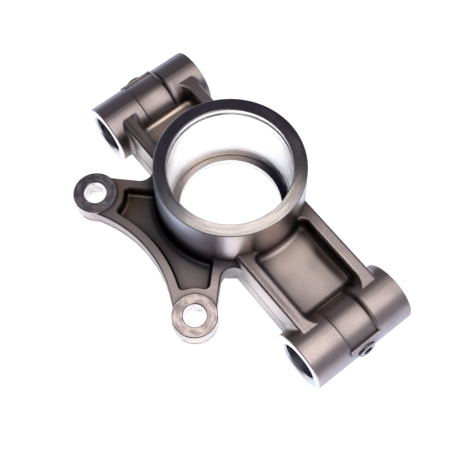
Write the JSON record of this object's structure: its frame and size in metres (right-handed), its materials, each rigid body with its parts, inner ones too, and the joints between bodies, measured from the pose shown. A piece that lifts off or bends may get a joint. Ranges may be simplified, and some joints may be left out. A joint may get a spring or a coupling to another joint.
{
  "type": "wheel hub carrier",
  "caption": "Cast wheel hub carrier: a tall bearing ring held between pivot barrels on channel-section arms, with a dished bracket on one side for a brake caliper.",
  "frame": {"origin": "on the bearing axis, level with the shoulder that the bearing seats on", "axes": "+Z out of the bearing bore's mouth, +X towards the longer arm, the caliper bracket on the -Y side"},
  "size_m": [0.1821, 0.099, 0.0491],
  "materials": {
    "cast_aluminium": "bead-blasted casting with turned faces and bores"
  },
  "bodies": {
    "root": {"hub_carrier": "cast_aluminium"}
  },
  "joints": []
}
